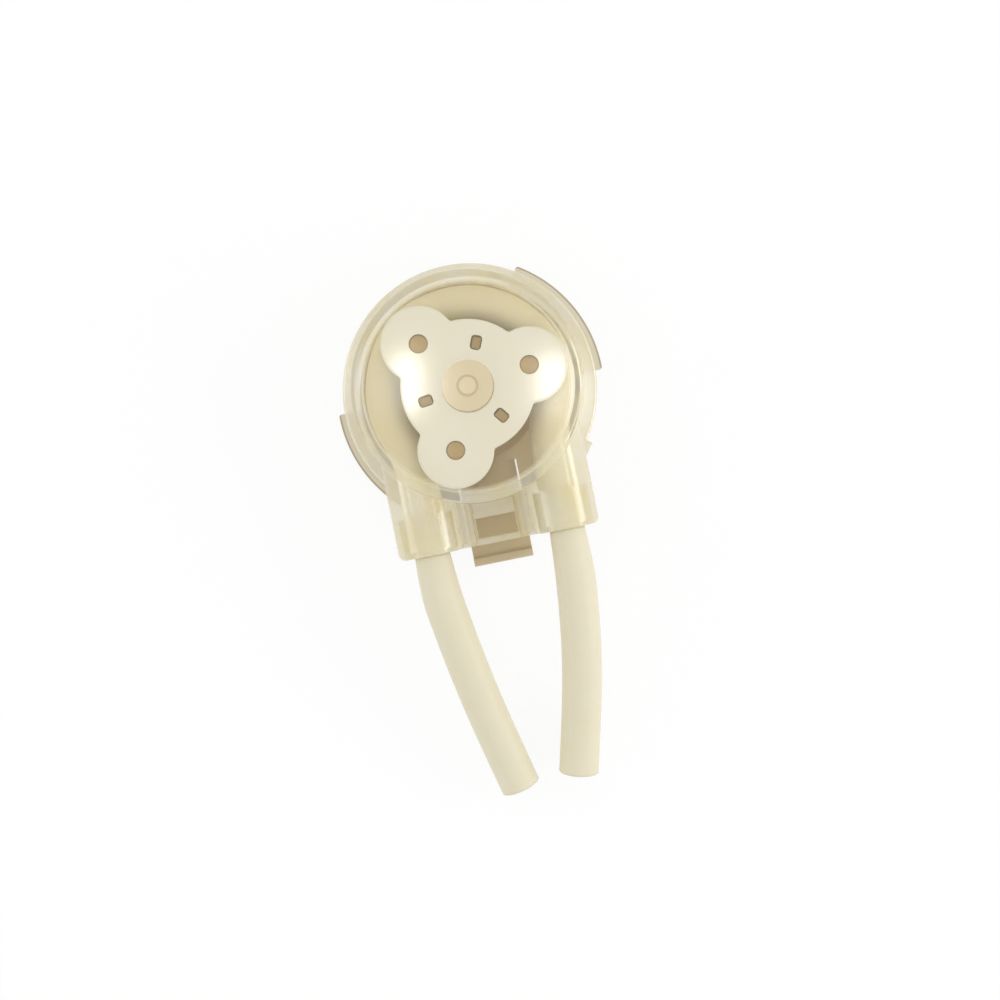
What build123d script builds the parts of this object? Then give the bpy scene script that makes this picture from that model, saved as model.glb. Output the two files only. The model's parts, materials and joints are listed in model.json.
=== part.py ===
"""Peristaltic pump head: a clear cup housing with two tube ports, a three-roller
rotor, one squeezed tube and a bayonet rear plate. Sizes are in millimetres.

The origin is the centre of the pilot bore in the rear face. +Z is the pump axis,
towards the window, and the two ports point along -Y.
"""

import os
from math import cos, degrees, radians, sin, sqrt, tan

from build123d import *

# ---- tube -------------------------------------------------------------------
tube_od = 5.0
tube_wall = 1.0
squeeze = 0.825  # gap at a roller as a share of the two walls pressed together
tube_clearance = 0.1  # between the free tube and the track
channel_clearance = 0.05  # between the tube and its port
neck_od = 4.4  # the tube where a grip holds it
neck_cone = 0.5
dented_wall = 0.9  # wall left beside a roller's dent in the bore

# ---- housing ----------------------------------------------------------------
collar_diameter = 32.0
collar_height = 5.0
drum_diameter = 28.6
drum_wall = 1.35
drum_draft = 0.15  # how much smaller the drum's radius is at the window
window_thickness = 1.35
window_gap = 0.4
drum_edge = 1.2
drum_inner_edge = 0.6
collar_edge = 0.4
boss_diameter = 6.24
boss_depth = 1.85
tip_bore_diameter = 2.44
tip_bore_roof = 1.0  # material left over the tip bore
boss_clearance = 0.08
notch_clearance = 0.1  # round each bayonet lug

# ---- ports ------------------------------------------------------------------
port_spacing = 17.0
port_length = 3.35  # from the collar's rim to the mouths
port_diameter = 8.25
port_edge = 0.8
grip_length = 5.0
grip_wall = 1.1
grip_clearance = 0.05
grip_slit = 0.8
grip_teeth = 3
tooth_height = 0.25
tooth_width = 1.4
rib_spacing = 7.1
rib_diameter = 1.9
recess_width = 5.0
lip_wall = 0.95  # the bar across the latch, along the mouths
lip_edge = 0.35
ear_angle = -37.85
ear_width = 1.9
ear_reach = 16.75

# ---- rear plate, bayonet and latch -------------------------------------------
plate_diameter = 28.0
plate_thickness = 2.0
plate_clearance = 0.05
pilot_diameter = 10.0
lug_reach = 1.0  # how far a lug stands out past the collar
lug_thickness = 1.5
lug_start = -1.35
lug_angle = 60.0
lug_edge = 0.3
latch_width = 7.55
latch_thickness = 1.4
latch_root = 9.5
latch_tip = 21.95
latch_clearance = 0.2
latch_seat_clearance = 0.05
latch_headroom = 1.0
latch_ridge = 1.1
latch_ridge_height = 0.8
latch_edge = 0.35

# ---- rotor ------------------------------------------------------------------
rotor_angle = 8.05
roller_count = 3
roller_diameter = 6.8
roller_length = 7.3
roller_chamfer = 0.3
roller_recess_diameter = 5.0
roller_recess_depth = 0.25
pin_diameter = 2.3
pin_sunk = 0.6  # below the face of the front plate
pin_edge = 0.15
pin_clearance = 0.02
running_clearance = 0.05
side_play = 0.1
washer_thickness = 0.3
washer_diameter = 4.4
thrust_inner_diameter = 10.6
thrust_outer_diameter = 14.4
lobe_diameter = 9.34
front_disc_diameter = 16.4
front_thickness = 1.8
carrier_disc_diameter = 17.6
carrier_thickness = 1.6
cage_edge = 0.3
notch_radius = 0.5
hub_wall = 0.7
spigot_diameter = 2.34  # the pivot that runs in the housing's boss
spigot_length = 1.9
spigot_edge = 0.2
post_radius = 5.4
post_length = 1.4
post_width = 1.0
post_sunk = 0.9
slot_length = 1.8
slot_width = 1.35
slot_corner = 0.45
bush_diameter = 5.8
bush_length = 8.2
shaft_diameter = 4.0
drive_slot_width = 1.0
drive_slot_depth = 2.2
drive_slot_span = 5.2

# ---- free ends of the tube: how each one curves in and comes down to the table --
left_route = [
    (-8.50, -19.35, 8.00),
    (-8.50, -23.60, 8.00),
    (-7.75, -28.90, 7.55),
    (-6.90, -34.30, 6.45),
    (-5.90, -39.70, 5.05),
    (-4.75, -45.00, 3.68),
    (-3.56, -50.19, 2.65),
]
right_route = [
    (8.50, -19.35, 8.00),
    (8.50, -24.30, 8.00),
    (8.02, -29.40, 7.45),
    (7.35, -34.60, 6.30),
    (6.40, -39.80, 4.95),
    (5.20, -45.00, 3.62),
    (4.05, -49.80, 2.65),
]

# ---- places that follow from the sizes ---------------------------------------
collar_radius = collar_diameter / 2
port_reach = collar_radius + port_length
recess_far = port_reach - lip_wall
plate_radius = plate_diameter / 2
lug_radius = collar_radius + lug_reach
drum_radius = drum_diameter / 2
track_radius = drum_radius - drum_wall
tube_radius = tube_od / 2
bore_radius = tube_radius - tube_wall
squeezed = 2 * tube_wall * squeeze
roller_radius = roller_diameter / 2
roller_pitch = track_radius - squeezed - roller_radius

thrust_front = plate_thickness + washer_thickness
carrier_rear = thrust_front + running_clearance
carrier_front = carrier_rear + carrier_thickness
roller_rear = carrier_front + washer_thickness + side_play
roller_front = roller_rear + roller_length
front_rear = roller_front + side_play + washer_thickness
front_face = front_rear + front_thickness
window_rear = front_face + window_gap
window_face = window_rear + window_thickness
axis_height = roller_rear + roller_length / 2

port_x = port_spacing / 2
port_radius = port_diameter / 2
channel_radius = tube_radius + channel_clearance
tooth_tip = neck_od / 2 + running_clearance
tooth_root = tooth_tip + tooth_height
tooth_back = tooth_root + tooth_height
grip_radius = tooth_tip + grip_wall
grip_inner = port_reach - grip_length

loop_radius = track_radius - tube_clearance - tube_radius
join_angle = 22.0  # where the tube leaves its circle, below the X axis
bend_radius = (loop_radius * cos(radians(join_angle)) - port_x) / (1 - cos(radians(join_angle)))
bend_start = -(loop_radius + bend_radius) * sin(radians(join_angle))

roller_angles = [rotor_angle + i * 360 / roller_count for i in range(roller_count)]
post_angles = [angle + 180 / roller_count for angle in roller_angles]
axle_places = [
    (roller_pitch * cos(radians(angle)), roller_pitch * sin(radians(angle)))
    for angle in roller_angles
]


def finish(part, name):
    """Labels a finished piece and writes it as parts/name.step."""
    part.label = name
    export_step(part, f"parts/{name}.step")


def from_axis(edge):
    """How far an edge's middle is from the pump axis."""
    return sqrt(edge.center().X ** 2 + edge.center().Y ** 2)


def side_of_port(side):
    """The tube's route from a port's mouth to the circle round the rotor."""
    with BuildLine(Plane.XY.offset(axis_height)) as route:
        leg = Line((port_x, -port_reach), (port_x, bend_start))
        JernArc(leg @ 1, leg % 1, bend_radius, -join_angle)
    return route.line if side > 0 else route.line.mirror(Plane.YZ)


def port_channel(side):
    """The round way that a port and the drum's wall leave for the tube."""
    with BuildPart() as channel:
        with BuildSketch(Plane.XZ.offset(port_reach)):
            with Locations((side * port_x, axis_height)):
                Circle(channel_radius)
        sweep(path=side_of_port(side))
    return channel.part


def lug_sectors(spare):
    """The two ring sectors of the bayonet lugs, grown by spare all round."""
    spare_angle = degrees(spare / collar_radius)
    with BuildSketch() as sectors:
        for turn in (0, 180):
            start = lug_start + turn - spare_angle
            with BuildLine():
                outer = CenterArc((0, 0), lug_radius + spare, start, lug_angle + 2 * spare_angle)
                Line(outer @ 1, (0, 0))
                Line((0, 0), outer @ 0)
            make_face()
        Circle(track_radius, mode=Mode.SUBTRACT)
    return sectors.sketch


def cage_outline(disc_diameter):
    """A disc with one round lobe over each roller, made in the sketch that is open."""
    Circle(disc_diameter / 2)
    with Locations(*axle_places):
        Circle(lobe_diameter / 2)


os.makedirs("parts", exist_ok=True)

# The front housing is one clear moulding: drum, window, pivot boss, collar and ports.
with BuildPart() as front_housing:
    with BuildSketch(Plane.XZ) as outside:
        with BuildLine():
            Polyline(
                (0, 0),
                (collar_radius, 0),
                (collar_radius, collar_height),
                (drum_radius, collar_height),
                (drum_radius - drum_draft, window_face),
                (0, window_face),
                close=True,
            )
        make_face()
        fillet(outside.vertices().group_by(Axis.X)[-1].sort_by(Axis.Y)[-1], collar_edge)
        fillet(outside.vertices().group_by(Axis.Y)[-1].sort_by(Axis.X)[-1], drum_edge)
    revolve(axis=Axis.Z)
    with BuildSketch(Plane.XZ) as towers:
        for side in (-1, 1):
            with Locations((side * port_x, axis_height)):
                Circle(port_radius)
            with Locations((side * port_x, 0)):
                Rectangle(port_diameter, axis_height, align=(Align.CENTER, Align.MIN))
    extrude(amount=port_reach)
    with BuildSketch(Plane.XZ.offset(track_radius)) as web:
        Rectangle(2 * port_x, collar_height, align=(Align.CENTER, Align.MIN))
        with Locations(*[(side * rib_spacing / 2, collar_height) for side in (-1, 1)]):
            Circle(rib_diameter / 2)
    extrude(amount=port_reach - track_radius)
    with BuildSketch():
        with PolarLocations(ear_reach, 1, start_angle=ear_angle):
            Rectangle(ear_reach - track_radius, ear_width, align=(Align.MAX, Align.CENTER))
    extrude(amount=collar_height)
    mouths = front_housing.faces().filter_by(Axis.Y).sort_by(Axis.Y)[0]
    fillet(mouths.edges().filter_by(lambda e: e.center().Z > collar_height), port_edge)
    # the cavity for the rotor and the tube
    with BuildSketch(Plane.XZ) as cavity:
        with BuildLine():
            Polyline(
                (0, plate_thickness),
                (track_radius, plate_thickness),
                (track_radius, window_rear),
                (0, window_rear),
                close=True,
            )
        make_face()
        corner = cavity.vertices().group_by(Axis.X)[-1].sort_by(Axis.Y)[-1]
        fillet(corner, drum_inner_edge)
    revolve(axis=Axis.Z, mode=Mode.SUBTRACT)
    # the pivot boss, with a blind bore for the tip of the drive shaft
    with BuildSketch(Plane.XY.offset(window_rear - boss_depth)):
        Circle(boss_diameter / 2)
    extrude(amount=boss_depth)
    with BuildSketch(Plane.XY.offset(window_rear - boss_depth)):
        Circle(tip_bore_diameter / 2)
    tip_bore_depth = boss_depth + window_thickness - tip_bore_roof
    extrude(amount=tip_bore_depth, mode=Mode.SUBTRACT)
    # the ways for the tube, wider where the grips sit
    for side in (-1, 1):
        add(port_channel(side), mode=Mode.SUBTRACT)
    with BuildSketch(Plane.XZ.offset(grip_inner)):
        with Locations(*[(side * port_x, axis_height) for side in (-1, 1)]):
            Circle(grip_radius + grip_clearance)
    extrude(amount=grip_length, mode=Mode.SUBTRACT)
    # the open frame over the latch
    with BuildSketch():
        with Locations((0, -collar_radius)):
            Rectangle(recess_width, port_length - lip_wall, align=(Align.CENTER, Align.MAX))
    extrude(amount=window_face, mode=Mode.SUBTRACT)
    lip_far = front_housing.edges().filter_by(Axis.X).filter_by(
        lambda edge: abs(edge.center().Y + recess_far) < lip_edge
        and abs(edge.center().Z - collar_height) < lip_edge
    )
    fillet(lip_far, lip_edge)
    # the rebate for the rear plate, the notches for its lugs and the way for the latch
    with BuildSketch():
        Circle(plate_radius + plate_clearance)
    extrude(amount=plate_thickness, mode=Mode.SUBTRACT)
    with BuildSketch():
        add(lug_sectors(notch_clearance))
    extrude(amount=lug_thickness + notch_clearance, mode=Mode.SUBTRACT)
    with BuildSketch():
        with Locations((0, -track_radius)):
            width = latch_width + 2 * latch_clearance
            Rectangle(width, port_reach, align=(Align.CENTER, Align.MAX))
    extrude(amount=latch_thickness + latch_headroom, mode=Mode.SUBTRACT)
finish(front_housing.part, "front_housing")

# The rear plate closes the housing and locks to the motor with two bayonet lugs.
with BuildPart() as rear_plate:
    with BuildSketch():
        Circle(plate_radius)
    extrude(amount=plate_thickness)
    with BuildSketch():
        add(lug_sectors(0))
    extrude(amount=lug_thickness)
    with BuildSketch():
        Circle(pilot_diameter / 2)
    extrude(amount=plate_thickness, mode=Mode.SUBTRACT)
    with BuildSketch():
        with Locations((0, -latch_root)):
            Rectangle(latch_width + 2 * latch_clearance, port_reach,
                      align=(Align.CENTER, Align.MAX))
    extrude(amount=plate_thickness, mode=Mode.SUBTRACT)
    with BuildSketch(Plane.YZ):
        with Locations((-latch_root, latch_thickness / 2)):
            Circle(latch_thickness / 2 + latch_seat_clearance)
    extrude(amount=latch_width / 2 + latch_clearance, both=True, mode=Mode.SUBTRACT)
    lug_corners = rear_plate.edges().filter_by(Axis.Z).filter_by(
        lambda edge: abs(from_axis(edge) - lug_radius) < lug_edge / 2
    )
    fillet(lug_corners, lug_edge)
finish(rear_plate.part, "rear_plate")

# The latch is the spring arm that holds the bayonet shut; it turns at its rounded root.
with BuildPart() as latch_arm:
    with BuildSketch(Plane.YZ) as latch_side:
        with Locations((-latch_root, latch_thickness / 2)):
            Circle(latch_thickness / 2)
        with Locations((-latch_root, 0)):
            Rectangle(latch_tip - latch_root, latch_thickness, align=(Align.MAX, Align.MIN))
        with Locations((-latch_tip, 0)):
            Rectangle(latch_ridge, latch_thickness + latch_ridge_height,
                      align=(Align.MIN, Align.MIN))
        tip = latch_side.vertices().group_by(Axis.Y)[-1]
        fillet(tip, latch_edge)
    extrude(amount=latch_width / 2, both=True)
finish(latch_arm.part, "latch_arm")

# The front cage plate: three lobes, the axle holes and the slots for the snap posts.
with BuildPart() as rotor_front_plate:
    with BuildSketch(Plane.XY.offset(front_rear)) as front_outline:
        cage_outline(front_disc_diameter)
        fillet(front_outline.vertices(), notch_radius)
    extrude(amount=front_thickness)
    face = rotor_front_plate.faces().sort_by(Axis.Z)[-1]
    fillet(face.edges(), cage_edge)
    with BuildSketch(Plane.XY.offset(front_rear)):
        Circle(boss_diameter / 2 + boss_clearance)
        with Locations(*axle_places):
            Circle(pin_diameter / 2 + pin_clearance)
        for angle in post_angles:
            with PolarLocations(post_radius, 1, start_angle=angle):
                RectangleRounded(slot_length, slot_width, slot_corner)
    extrude(amount=front_thickness, mode=Mode.SUBTRACT)
finish(rotor_front_plate.part, "rotor_front_plate")

# The carrier is the rear half of the cage, with the hub and the three snap posts.
with BuildPart() as rotor_carrier:
    with BuildSketch(Plane.XY.offset(carrier_rear)) as carrier_outline:
        cage_outline(carrier_disc_diameter)
        fillet(carrier_outline.vertices(), notch_radius)
    extrude(amount=carrier_thickness)
    with BuildSketch(Plane.XY.offset(carrier_rear)):
        Circle(bush_diameter / 2 + hub_wall)
    extrude(amount=front_rear - carrier_rear)
    with BuildSketch(Plane.XY.offset(carrier_rear)):
        for angle in post_angles:
            with PolarLocations(post_radius, 1, start_angle=angle):
                Rectangle(post_length, post_width)
    extrude(amount=front_face - post_sunk - carrier_rear)
    with BuildSketch(Plane.XY.offset(carrier_rear)):
        Circle(bush_diameter / 2 + pin_clearance)
        with Locations(*axle_places):
            Circle(pin_diameter / 2 + pin_clearance)
    extrude(amount=bush_length, mode=Mode.SUBTRACT)
    with BuildSketch(Plane.XY.offset(front_rear)):
        Circle(spigot_diameter / 2)
    extrude(amount=spigot_length)
    chamfer(rotor_carrier.faces().sort_by(Axis.Z)[-1].edges(), spigot_edge)
finish(rotor_carrier.part, "rotor_carrier")

# The drive bush: a metal sleeve in the hub, slotted for the cross pin of a round shaft.
with BuildPart() as drive_bush:
    with BuildSketch(Plane.XY.offset(carrier_rear)):
        Circle(bush_diameter / 2)
        Circle(shaft_diameter / 2, mode=Mode.SUBTRACT)
    extrude(amount=bush_length)
    with BuildSketch(Plane.XY.offset(carrier_rear)):
        Rectangle(drive_slot_span, drive_slot_width, rotation=rotor_angle)
    extrude(amount=drive_slot_depth, mode=Mode.SUBTRACT)
finish(drive_bush.part, "drive_bush")

# Three rollers, each on its own axle pin.
for number, (axle_x, axle_y) in enumerate(axle_places, start=1):
    with BuildPart() as roller:
        with BuildSketch(Plane.XY.offset(roller_rear)):
            with Locations((axle_x, axle_y)):
                Circle(roller_radius)
        extrude(amount=roller_length)
        chamfer(roller.edges().filter_by(GeomType.CIRCLE), roller_chamfer)
        for height in (roller_rear, roller_front - roller_recess_depth):
            with BuildSketch(Plane.XY.offset(height)):
                with Locations((axle_x, axle_y)):
                    Circle(roller_recess_diameter / 2)
                    Circle(washer_diameter / 2, mode=Mode.SUBTRACT)
            extrude(amount=roller_recess_depth, mode=Mode.SUBTRACT)
        with BuildSketch(Plane.XY.offset(roller_rear)):
            with Locations((axle_x, axle_y)):
                Circle(pin_diameter / 2 + running_clearance)
        extrude(amount=roller_length, mode=Mode.SUBTRACT)
    finish(roller.part, f"roller_{number}")

    with BuildPart() as axle_pin:
        with BuildSketch(Plane.XY.offset(carrier_rear)):
            with Locations((axle_x, axle_y)):
                Circle(pin_diameter / 2)
        extrude(amount=front_face - pin_sunk - carrier_rear)
        chamfer(axle_pin.edges().filter_by(GeomType.CIRCLE), pin_edge)
    finish(axle_pin.part, f"axle_pin_{number}")

# A thin washer at each end of each roller.
for name, height in (
    ("roller_washers_rear", carrier_front),
    ("roller_washers_front", front_rear - washer_thickness),
):
    with BuildPart() as washers:
        with BuildSketch(Plane.XY.offset(height)):
            with Locations(*axle_places):
                Circle(washer_diameter / 2)
                Circle(pin_diameter / 2 + pin_clearance, mode=Mode.SUBTRACT)
        extrude(amount=washer_thickness)
    finish(washers.part, name)

# The thrust washer lies on the rear plate, under the carrier.
with BuildPart() as thrust_washer:
    with BuildSketch(Plane.XY.offset(plate_thickness)):
        Circle(thrust_outer_diameter / 2)
        Circle(thrust_inner_diameter / 2, mode=Mode.SUBTRACT)
    extrude(amount=washer_thickness)
finish(thrust_washer.part, "thrust_washer")


def loop_line():
    """The middle of the tube inside the housing, from one mouth to the other."""
    with BuildLine(Plane.XY.offset(axis_height)) as route:
        leg = Line((port_x, -port_reach), (port_x, bend_start))
        first = JernArc(leg @ 1, leg % 1, bend_radius, -join_angle)
        ring = JernArc(first @ 1, first % 1, loop_radius, 180 + 2 * join_angle)
        last = JernArc(ring @ 1, ring % 1, bend_radius, -join_angle)
        Line(last @ 1, (-port_x, -port_reach))
    return route.line


def round_way(radius, roller_gap):
    """A round solid along the loop, dented at the rollers to that gap round them."""
    with BuildPart() as way:
        with BuildSketch(Plane.XZ.offset(port_reach)):
            with Locations((port_x, axis_height)):
                Circle(radius)
        sweep(path=loop_line())
        with BuildSketch(Plane.XY.offset(axis_height)):
            with Locations(*axle_places):
                Circle(roller_radius + roller_gap)
        extrude(amount=roller_length / 2, both=True, mode=Mode.SUBTRACT)
    return way.part


# The tube inside the housing, dented by the rollers and necked where the grips hold it.
with BuildPart() as tube_loop:
    add(round_way(tube_radius, running_clearance))
    for side in (-1, 1):
        port_axis = Axis((side * port_x, 0, axis_height), (0, 1, 0))
        with BuildSketch(Plane.XY.offset(axis_height)):
            with BuildLine():
                Polyline(
                    (side * port_x + neck_od / 2, -port_reach),
                    (side * port_x + port_radius, -port_reach),
                    (side * port_x + port_radius, -grip_inner + neck_cone),
                    (side * port_x + tube_radius, -grip_inner + neck_cone),
                    (side * port_x + neck_od / 2, -grip_inner),
                    close=True,
                )
            make_face()
        revolve(axis=port_axis, mode=Mode.SUBTRACT)
    add(round_way(bore_radius, running_clearance + dented_wall), mode=Mode.SUBTRACT)
finish(tube_loop.part, "tube_loop")

# A split grip in each port bites the tube with three rings of teeth.
for name, side in (("tube_grip_left", -1), ("tube_grip_right", 1)):
    with BuildPart() as grip:
        with BuildSketch(Plane.XZ.offset(grip_inner)):
            with Locations((side * port_x, axis_height)):
                Circle(grip_radius)
                Circle(tooth_root, mode=Mode.SUBTRACT)
        extrude(amount=grip_length)
        with BuildSketch(Plane.XY.offset(axis_height)):
            for i in range(grip_teeth):
                middle_y = -grip_inner - (i + 0.5) * grip_length / grip_teeth
                with BuildLine():
                    Polyline(
                        (side * port_x + tooth_tip, middle_y),
                        (side * port_x + tooth_back, middle_y + tooth_width / 2),
                        (side * port_x + tooth_back, middle_y - tooth_width / 2),
                        close=True,
                    )
                make_face()
        revolve(axis=Axis((side * port_x, 0, axis_height), (0, 1, 0)))
        with BuildSketch(Plane.XZ.offset(grip_inner)):
            with Locations((side * port_x, axis_height)):
                Rectangle(grip_slit, grip_radius + grip_wall, align=(Align.CENTER, Align.MAX))
        extrude(amount=grip_length, mode=Mode.SUBTRACT)
    finish(grip.part, name)

# The free ends of the tube.
for name, route in (("tube_end_left", left_route), ("tube_end_right", right_route)):
    runs = [Vector(*b) - Vector(*a) for a, b in zip(route, route[1:])]
    radii = [
        0.45 * min(a.length, b.length) / tan(radians(a.get_angle(b) / 2))
        for a, b in zip(runs, runs[1:])
    ]
    print(name, "radii", [round(r, 1) for r in radii])
    with BuildPart() as tube_end:
        with BuildLine() as middle:
            FilletPolyline(*route, radius=radii)
        with BuildSketch(Plane(origin=route[0], z_dir=runs[0])):
            Circle(tube_radius)
            Circle(bore_radius, mode=Mode.SUBTRACT)
        sweep(path=middle.line)
    length = middle.wires()[0].length
    print(name, "length", round(length, 2), "section", round(tube_end.part.volume / length, 3))
    finish(tube_end.part, name)
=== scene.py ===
import json
import math

import bmesh
import bpy
from mathutils import Matrix, Vector


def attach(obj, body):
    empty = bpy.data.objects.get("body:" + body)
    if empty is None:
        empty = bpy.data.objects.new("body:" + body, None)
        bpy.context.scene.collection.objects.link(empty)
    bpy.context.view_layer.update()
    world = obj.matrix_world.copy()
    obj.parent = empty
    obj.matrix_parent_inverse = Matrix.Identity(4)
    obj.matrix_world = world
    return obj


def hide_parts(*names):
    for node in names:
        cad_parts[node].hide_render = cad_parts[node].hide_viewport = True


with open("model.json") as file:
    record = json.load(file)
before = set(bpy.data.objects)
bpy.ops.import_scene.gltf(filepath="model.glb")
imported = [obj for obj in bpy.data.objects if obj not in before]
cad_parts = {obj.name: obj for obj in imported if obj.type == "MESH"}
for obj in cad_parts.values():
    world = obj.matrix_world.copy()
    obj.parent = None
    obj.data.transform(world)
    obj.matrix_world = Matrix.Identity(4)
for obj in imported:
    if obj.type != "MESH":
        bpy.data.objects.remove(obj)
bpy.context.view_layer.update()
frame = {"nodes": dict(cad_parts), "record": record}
nodes = frame["nodes"]
mm = 0.001
print("frame loaded,", len(nodes), "nodes")

camera = {
    "lens": 72.0,
    "aim": Vector((1.01, -14.25, 5.0)) * mm,
    "distance": 250.9 * mm,
    "turn": math.radians(11.35),  # the object lies turned this much in the view
    "lean": math.radians(0.72),
    "clipStart": 10 * mm,
}


def placeCamera(about):
    right = Vector((math.cos(about["turn"]), -math.sin(about["turn"]), 0))
    back = Vector((0, 0, 1)) * math.cos(about["lean"]) + right * math.sin(about["lean"])
    side = (right - back * right.dot(back)).normalized()
    lens = bpy.data.cameras.new("camera")
    lens.lens = about["lens"]
    lens.clip_start = about["clipStart"]
    lensObject = bpy.data.objects.new("camera", lens)
    bpy.context.collection.objects.link(lensObject)
    turned = Matrix((side, back.cross(side), back)).transposed().to_4x4()
    stand = Matrix.Translation(about["aim"] + back * about["distance"])
    lensObject.matrix_world = stand @ turned
    bpy.context.scene.camera = lensObject
    return right


viewRight = placeCamera(camera)
print("camera placed")


def addMesh(name, work):
    mesh = bpy.data.meshes.new(name)
    work.to_mesh(mesh)
    work.free()
    piece = bpy.data.objects.new(name, mesh)
    bpy.context.collection.objects.link(piece)
    return piece


tube = {
    "od": 5.0 * mm,
    "wall": 1.0 * mm,
    "neck": 0.88,  # share of its size where a grip squeezes it
    "leftRoute": [
        (-8.50, -19.35, 8.00),
        (-8.50, -23.60, 8.00),
        (-7.75, -28.90, 7.55),
        (-6.90, -34.30, 6.45),
        (-5.90, -39.70, 5.05),
        (-4.75, -45.00, 3.68),
        (-3.56, -50.19, 2.65),
    ],
    "rightRoute": [
        (8.50, -19.35, 8.00),
        (8.50, -24.30, 8.00),
        (8.02, -29.40, 7.45),
        (7.35, -34.60, 6.30),
        (6.40, -39.80, 4.95),
        (5.20, -45.00, 3.62),
        (4.05, -49.80, 2.65),
    ],
    "leftLength": 31.9 * mm,
    "rightLength": 31.4 * mm,
    "steps": 24,  # between two points of a route
    "roundness": 8,
}


def makeTubeEnd(name, node, route):
    line = bpy.data.curves.new(name, "CURVE")
    line.dimensions = "3D"
    spline = line.splines.new("NURBS")
    spline.points.add(len(route) - 1)
    for point, place in zip(spline.points, route):
        point.co = (*(Vector(place) * mm), 1.0)
        point.radius = tube["od"] / 2
    spline.order_u = 3
    spline.use_endpoint_u = True
    spline.points[0].radius *= tube["neck"]
    line.resolution_u = tube["steps"]
    line.bevel_depth = 1.0  # the points' radius gives the size
    line.bevel_resolution = tube["roundness"]
    piece = bpy.data.objects.new(name, line)
    bpy.context.collection.objects.link(piece)
    wall = piece.modifiers.new("wall", "SOLIDIFY")
    wall.thickness = tube["wall"]
    wall.offset = -1
    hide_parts(node)
    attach(piece, "housing")
    return piece


loop = {
    "portX": 8.5 * mm,
    "reach": 19.35 * mm,
    "height": 8.0 * mm,
    "track": 12.85 * mm,  # the tube's outer side lies on this radius
    "join": math.radians(22),
    "gripStart": 14.35 * mm,
    "gripCone": 0.5 * mm,
    "pinch": 1.52 * mm,
    "spread": 0.0041 * mm,  # how the gap widens with the square of the degrees from a roller
    "rollerAngles": (8.05, 128.05),  # degrees, at rest
    "soften": 0.3 * mm,  # how gently a pinch runs out into the round tube
    "square": 3,  # how full the sides of the squeezed section are
    "around": 40,
    "along": 360,
}


def loopPlace(share):
    ring = loop["track"] - tube["od"] / 2
    bend = (ring * math.cos(loop["join"]) - loop["portX"]) / (1 - math.cos(loop["join"]))
    bendStart = -(ring + bend) * math.sin(loop["join"])
    leg = loop["reach"] + bendStart
    half = leg + bend * loop["join"] + ring * (math.pi / 2 + loop["join"])
    along = half * (1 - abs(2 * share - 1))
    side = 1 if share < 0.5 else -1
    if along < leg:
        spot, outward, degrees = Vector((loop["portX"], along - loop["reach"])), 0.0, None
    elif along < leg + bend * loop["join"]:
        outward = -(along - leg) / bend
        centre = Vector((loop["portX"] + bend, bendStart))
        spot = centre - bend * Vector((math.cos(outward), math.sin(outward)))
        degrees = None
    else:
        outward = (along - leg - bend * loop["join"]) / ring - loop["join"]
        spot = ring * Vector((math.cos(outward), math.sin(outward)))
        degrees = math.degrees(outward)
    normal = Vector((math.cos(outward), math.sin(outward)))
    if side < 0:
        spot.x, normal.x = -spot.x, -normal.x
        degrees = None if degrees is None else 180 - degrees
    return spot, normal, degrees


def loopThickness(spot, degrees):
    full = tube["od"]
    if degrees is None:
        grip = (-spot.y - loop["gripStart"]) / loop["gripCone"] + 1
        return full * (1 - (1 - tube["neck"]) * min(max(grip, 0), 1))
    away = min(abs(degrees - angle) for angle in loop["rollerAngles"])
    gap = loop["pinch"] + loop["spread"] * away ** 2
    soft = loop["soften"]
    mix = min(max(0.5 + 0.5 * (full - gap) / soft, 0), 1)
    return full * (1 - mix) + gap * mix - soft * mix * (1 - mix)


def makeTubeLoop():
    work = bmesh.new()
    bmesh.ops.create_circle(work, segments=loop["around"], radius=1.0)
    bmesh.ops.spin(work, geom=work.verts[:] + work.edges[:], steps=loop["along"], angle=0,
                   axis=(0, 0, 1), cent=(0, 0, 0), dvec=(0, 0, 1 / loop["along"]))
    for vert in work.verts:
        spot, normal, degrees = loopPlace(vert.co.z)
        thick = loopThickness(spot, degrees)
        widen = 0.0
        if degrees is not None:
            widen = math.pi * (tube["od"] - thick) / 4
            spot = normal * (loop["track"] - thick / 2)
        outward = vert.co.x * thick / 2
        square = loop["square"]
        upward = (vert.co.y * thick / 2
                  + widen * math.tanh(square * vert.co.y) / math.tanh(square))
        vert.co = (*(spot + normal * outward), loop["height"] + upward)
    bmesh.ops.holes_fill(work, edges=[edge for edge in work.edges if edge.is_boundary])
    bmesh.ops.recalc_face_normals(work, faces=work.faces)
    for face in work.faces:
        face.smooth = len(face.verts) == 4
    piece = addMesh("tube_loop_soft", work)
    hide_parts("tube_loop")
    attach(piece, "housing")
    return piece


tubeLoop = makeTubeLoop()
print("tube loop made")
leftEnd = makeTubeEnd("left_tube_end", "tube_end_left", tube["leftRoute"])
rightEnd = makeTubeEnd("right_tube_end", "tube_end_right", tube["rightRoute"])
print("free tube ends made")


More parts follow.
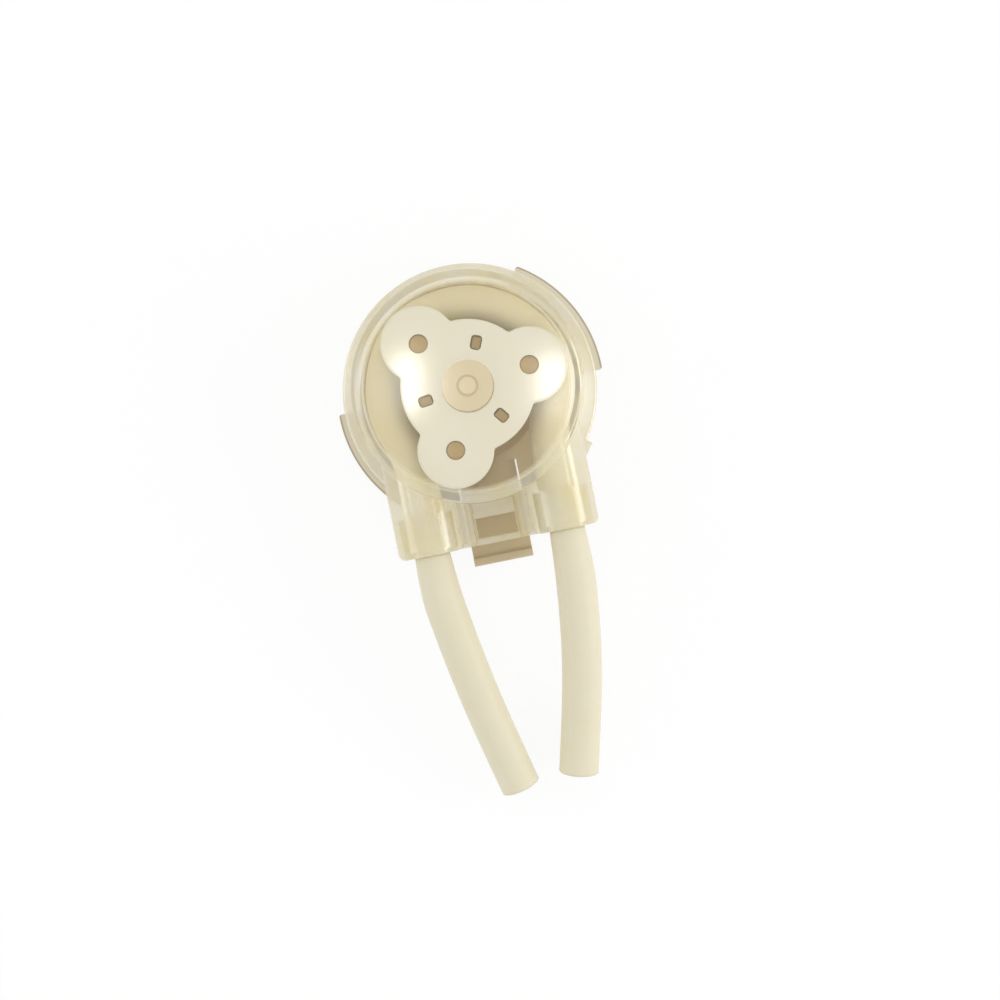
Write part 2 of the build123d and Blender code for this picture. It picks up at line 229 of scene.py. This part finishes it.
class Socket:
    def __init__(self, tree, link):
        self.tree = tree
        self.link = link

    def math(self, operation, first, second=None):
        node = self.tree.nodes.new("ShaderNodeMath")
        node.operation = operation
        for slot, value in zip(node.inputs, (first, second)):
            if isinstance(value, Socket):
                self.tree.links.new(value.link, slot)
            elif value is not None:
                slot.default_value = value
        return Socket(self.tree, node.outputs[0])

    def __add__(self, other):
        return self.math("ADD", self, other)

    def __radd__(self, other):
        return self.math("ADD", other, self)

    def __sub__(self, other):
        return self.math("SUBTRACT", self, other)

    def __rsub__(self, other):
        return self.math("SUBTRACT", other, self)

    def __mul__(self, other):
        return self.math("MULTIPLY", self, other)

    def __rmul__(self, other):
        return self.math("MULTIPLY", other, self)

    def __pow__(self, other):
        return self.math("POWER", self, other)

    def atMost(self, other):
        return self.math("MINIMUM", self, other)

    def rise(self, low, high):
        node = self.tree.nodes.new("ShaderNodeMapRange")
        self.tree.links.new(self.link, node.inputs["Value"])
        node.inputs["From Min"].default_value = low
        node.inputs["From Max"].default_value = high
        return Socket(self.tree, node.outputs[0])


class Finish:
    def __init__(self, name, world=None):
        holder = world or bpy.data.materials.new(name)
        holder.use_nodes = True
        self.holder = holder
        self.tree = holder.node_tree
        self.tree.nodes.clear()

    def node(self, kind, settings=None, values=None, output=0):
        made = self.tree.nodes.new(kind)
        for key, value in (settings or {}).items():
            setattr(made, key, value)
        for key, value in (values or {}).items():
            if isinstance(value, Socket):
                self.tree.links.new(value.link, made.inputs[key])
            elif isinstance(value, tuple) and len(value) == 3 and made.inputs[key].type == "RGBA":
                made.inputs[key].default_value = (*value, 1.0)
            else:
                made.inputs[key].default_value = value
        return Socket(self.tree, made.outputs[output])

    def place(self):
        return self.node("ShaderNodeTexCoord", output="Object")

    def parts(self, place):
        return [self.node("ShaderNodeSeparateXYZ", None, {"Vector": place}, output=axis)
                for axis in "XYZ"]

    def noise(self, place, size, detail=2.0):
        return self.node("ShaderNodeTexNoise", {"noise_dimensions": "3D"},
                         {"Vector": place, "Scale": 1 / size, "Detail": detail}, "Fac")

    def blendColour(self, share, first, second):
        return self.node("ShaderNodeMix", {"data_type": "RGBA"},
                         {0: share, 6: first, 7: second}, 2)

    def bump(self, height, distance):
        return self.node("ShaderNodeBump", None,
                         {"Height": height, "Distance": distance, "Strength": 1.0})

    def surface(self, shader):
        isWorld = isinstance(self.holder, bpy.types.World)
        kind = "ShaderNodeOutputWorld" if isWorld else "ShaderNodeOutputMaterial"
        end = self.tree.nodes.new(kind)
        self.tree.links.new(shader.link, end.inputs["Surface"])
        return self.holder


def dress(piece, material):
    piece.data.materials.clear()
    piece.data.materials.append(material)


amber = {
    "milk": (0.90, 0.86, 0.72),
    "deep": (0.87, 0.78, 0.42),
    # painted shade: the darker line colour, given where a surface is seen edge on
    "line": (0.72, 0.60, 0.30),
    "pivot": (0.77, 0.62, 0.30),
    "ring": (0.50, 0.37, 0.12),  # painted shade: a darker ring round the bore in the pivot boss
    "clear": (0.99, 0.975, 0.93),
    "window": 0.07,  # share of milky plastic in the window's surfaces, seen square on
    "wall": 0.38,
    "port": 0.32,
    "collar": 0.55,
    "boss": 0.72,
    "rim": 0.3,  # more of it where a surface is seen edge on
    "shade": 0.25,  # how much of the share also stops light on its way in
    "falloff": 3.0,
    # each zone fades in from the first value to the second
    "collarZone": (5.3 * mm, 4.9 * mm),
    "portZone": (14.3 * mm, 14.6 * mm),
    "wallZone": (12.2 * mm, 12.9 * mm),
    "bossZone": (3.2 * mm, 3.05 * mm),
    "bossHeight": (11.5 * mm, 12.0 * mm),
    "ringInside": (0.95 * mm, 1.1 * mm),
    "ringOutside": (1.4 * mm, 1.25 * mm),
    "cloudSize": 5 * mm,
    # the edge term paints shade: surfaces seen edge on turn deeper amber; cloud and wall give the
    # plastic's own tone
    "yellowToneAndEdgeShade": {"cloud": 2.4, "edge": 0.7, "wall": 0.2, "less": 0.85},
    "waveSize": 3 * mm,
    "waveHeight": 0.01 * mm,
    "roughness": 0.3,
    "coatRoughness": 0.1,
    "coatIor": 2.5,
}


def clearAmber():
    look = Finish("clear amber plastic")
    place = look.place()
    x, y, z = look.parts(place)
    radius = (x * x + y * y) ** 0.5
    edge = look.node("ShaderNodeLayerWeight", None, {"Blend": 0.5}, "Facing") ** amber["falloff"]
    collar = z.rise(*amber["collarZone"])
    port = radius.rise(*amber["portZone"]) * (1.0 - collar)
    wall = radius.rise(*amber["wallZone"]) * (1.0 - collar)
    boss = radius.rise(*amber["bossZone"]) * z.rise(*amber["bossHeight"])
    share = (edge * amber["rim"] + collar * amber["collar"] + wall * amber["wall"]
             + port * (amber["port"] - amber["wall"]) + boss * amber["boss"] + amber["window"])
    path = look.tree.nodes.new("ShaderNodeLightPath")
    inward = (Socket(look.tree, path.outputs["Is Shadow Ray"])
              + Socket(look.tree, path.outputs["Is Diffuse Ray"])).atMost(1.0)
    share = share * (1.0 - inward * (1.0 - amber["shade"]))
    cloud = look.noise(place, amber["cloudSize"], 3.0)
    tint = amber["yellowToneAndEdgeShade"]
    # deeper amber where a surface is seen edge on is painted shade; the cloud gives random tone
    yellowToneAndEdgeShade = (cloud * tint["cloud"] + edge * tint["edge"] + wall * tint["wall"]
              - tint["less"]).rise(0.0, 1.0)
    # painted shade: a darker band round the bore in the pivot boss
    ring = boss * radius.rise(*amber["ringInside"]) * radius.rise(*amber["ringOutside"])
    plastic = look.blendColour(yellowToneAndEdgeShade, amber["milk"], amber["deep"])
    # painted shade: a darker line where a surface is seen edge on
    plastic = look.blendColour(edge * edge, plastic, amber["line"])
    plastic = look.blendColour(boss, plastic, amber["pivot"])
    body = look.node("ShaderNodeBsdfPrincipled", None, {
        "Base Color": look.blendColour(ring, plastic, amber["ring"]),
        "Roughness": amber["roughness"],
        "Coat Weight": 1.0,
        "Coat Roughness": amber["coatRoughness"],
        "Coat IOR": amber["coatIor"],
        "Normal": look.bump(look.noise(place, amber["waveSize"], 1.0), amber["waveHeight"]),
    })
    clear = look.node("ShaderNodeBsdfTransparent", None, {"Color": amber["clear"]})
    return look.surface(look.node("ShaderNodeMixShader", None, {0: share, 1: clear, 2: body}))


smoky = {
    "colour": (0.76, 0.64, 0.43),
    "dark": (0.68, 0.56, 0.37),
    "lug": (0.84, 0.78, 0.62),
    # painted shade: a darker band along the lugs' outer edge
    "rim": (0.52, 0.44, 0.30),
    "roughness": 0.5,
    "lugZone": (15.6 * mm, 16.0 * mm),
    "lugSide": (-15 * mm, -12 * mm),  # keeps the lugs' colour off the latch
    "rimShadeZone": (16.7 * mm, 16.85 * mm),
    "cloudSize": 4 * mm,
}


def smokyAmber():
    look = Finish("smoky plastic")
    place = look.place()
    x, y, z = look.parts(place)
    radius = (x * x + y * y) ** 0.5
    lug = radius.rise(*smoky["lugZone"]) * y.rise(*smoky["lugSide"])
    # painted shade along the lugs' outer edge
    rim = radius.rise(*smoky["rimShadeZone"]) * lug
    cloud = look.noise(place, smoky["cloudSize"])
    body = look.blendColour(cloud, smoky["dark"], smoky["colour"])
    body = look.blendColour(lug, body, smoky["lug"])
    body = look.node("ShaderNodeBsdfPrincipled", None, {
        "Base Color": look.blendColour(rim, body, smoky["rim"]),
        "Roughness": smoky["roughness"],
    })
    return look.surface(body)


fine = {
    "cloudSize": 2.5 * mm,
    "grainSize": 0.4 * mm,
    "grainHeight": 0.01 * mm,
    "coatRoughness": 0.08,
    "softRadius": (1.0, 0.8, 0.5),
    "softScale": 1 * mm,
}


def plain(name, colour, shade, roughness, metallic=0.0, soft=0.0, coat=0.0):
    look = Finish(name)
    place = look.place()
    cloud = look.noise(place, fine["cloudSize"], 3.0)
    body = look.node("ShaderNodeBsdfPrincipled", None, {
        "Base Color": look.blendColour(cloud, shade, colour),
        "Roughness": roughness,
        "Metallic": metallic,
        "Coat Weight": coat,
        "Coat Roughness": fine["coatRoughness"],
        "Subsurface Weight": soft,
        "Subsurface Radius": fine["softRadius"],
        "Subsurface Scale": fine["softScale"],
        "Normal": look.bump(look.noise(place, fine["grainSize"]), fine["grainHeight"]),
    })
    return look.surface(body)


finishes = {
    "clear_amber": clearAmber(),
    "smoky_amber": smokyAmber(),
    "white_acetal": plain("white acetal", (0.92, 0.915, 0.88), (0.90, 0.89, 0.85), 0.35,
                          coat=1.0),
    "tan_nylon": plain("tan nylon", (0.58, 0.42, 0.20), (0.54, 0.38, 0.17), 0.45),
    "washer_plastic": plain("washer plastic", (0.85, 0.85, 0.83), (0.82, 0.82, 0.8), 0.3),
    "steel": plain("turned steel", (0.62, 0.62, 0.62), (0.58, 0.58, 0.58), 0.3, metallic=1.0),
    "pump_tube": plain("pump tube", (0.87, 0.81, 0.62), (0.84, 0.78, 0.58), 0.5, soft=0.3),
}
slotOf = {row["node"]: row["material_slot"] for row in frame["record"]["subparts"]}
for name, piece in nodes.items():
    dress(piece, finishes[slotOf[name]])
for piece in (leftEnd, rightEnd, tubeLoop):
    dress(piece, finishes["pump_tube"])
print("finishes applied")

studio = {
    "floorSize": 3.0,
    "floor": (0.93, 0.93, 0.93),
    "floorDrop": 0.05 * mm,  # keeps it off the part's rear face
    "glow": 0.85,  # share of the floor's own white in what the camera sees
    "glowStrength": 1.03,
    "world": 0.72,
    "lampDistance": 0.4,
    "lampLength": 0.38,
    "lampHeight": 0.11,
    "lampAngle": math.radians(64),  # from straight up
    "lampPower": {"right": 0.42, "left": 0.2},
}


def seenRays(look):
    path = look.tree.nodes.new("ShaderNodeLightPath")
    rays = [Socket(look.tree, path.outputs[key])
            for key in ("Is Camera Ray", "Is Glossy Ray", "Is Transmission Ray")]
    return (rays[0] + rays[1] + rays[2]).atMost(1.0)


def makeFloor():
    work = bmesh.new()
    bmesh.ops.create_grid(work, x_segments=1, y_segments=1, size=studio["floorSize"] / 2)
    floor = addMesh("floor", work)
    floor.location.z = -studio["floorDrop"]
    look = Finish("white floor")
    matte = look.node("ShaderNodeBsdfDiffuse", None, {"Color": studio["floor"]})
    glow = look.node("ShaderNodeEmission", None,
                     {"Color": (1, 1, 1), "Strength": studio["glowStrength"]})
    both = look.node("ShaderNodeMixShader", None,
                     {0: seenRays(look) * studio["glow"], 1: matte, 2: glow})
    floor.data.materials.append(look.surface(both))


def makeWorld():
    world = bpy.data.worlds.new("studio")
    bpy.context.scene.world = world
    look = Finish("studio", world)
    seen = seenRays(look)
    strength = seen * (1.0 - studio["world"]) + studio["world"]
    sky = look.node("ShaderNodeBackground", None, {"Color": (1, 1, 1), "Strength": strength})
    look.surface(sky)


def addArea(name, size, power):
    lamp = bpy.data.lights.new(name, "AREA")
    lamp.shape = "RECTANGLE"
    lamp.size, lamp.size_y = size
    lamp.energy = power
    lampObject = bpy.data.objects.new(name, lamp)
    bpy.context.collection.objects.link(lampObject)
    return lampObject


def makeLamp(name, side):
    lampObject = addArea(name + " lamp", (studio["lampHeight"], studio["lampLength"]),
                         studio["lampPower"][name])
    up = Vector((0, 0, 1))
    away = up * math.cos(studio["lampAngle"]) + viewRight * side * math.sin(studio["lampAngle"])
    along = up.cross(viewRight)
    across = along.cross(away)
    turned = Matrix((across, along, away)).transposed().to_4x4()
    lampObject.matrix_world = Matrix.Translation(away * studio["lampDistance"]) @ turned


glints = {
    "places": ((-18.5, 18.4), (16.3, 11.0)),  # where the two small lamps by the lens stand
    "height": 256 * mm,
    "size": (5 * mm, 13 * mm),
    "power": 0.005,
}


def makeGlint(name, place):
    lampObject = addArea(name, glints["size"], glints["power"])
    lampObject.location = (*(Vector(place) * mm), glints["height"])
    lampObject.rotation_euler.z = -camera["turn"]


makeFloor()
makeWorld()
for name, place in zip(("left glint", "right glint"), glints["places"]):
    makeGlint(name, place)
makeLamp("right", 1)
makeLamp("left", -1)
bpy.context.scene.view_settings.view_transform = "Standard"
print("floor, world and lamps made")
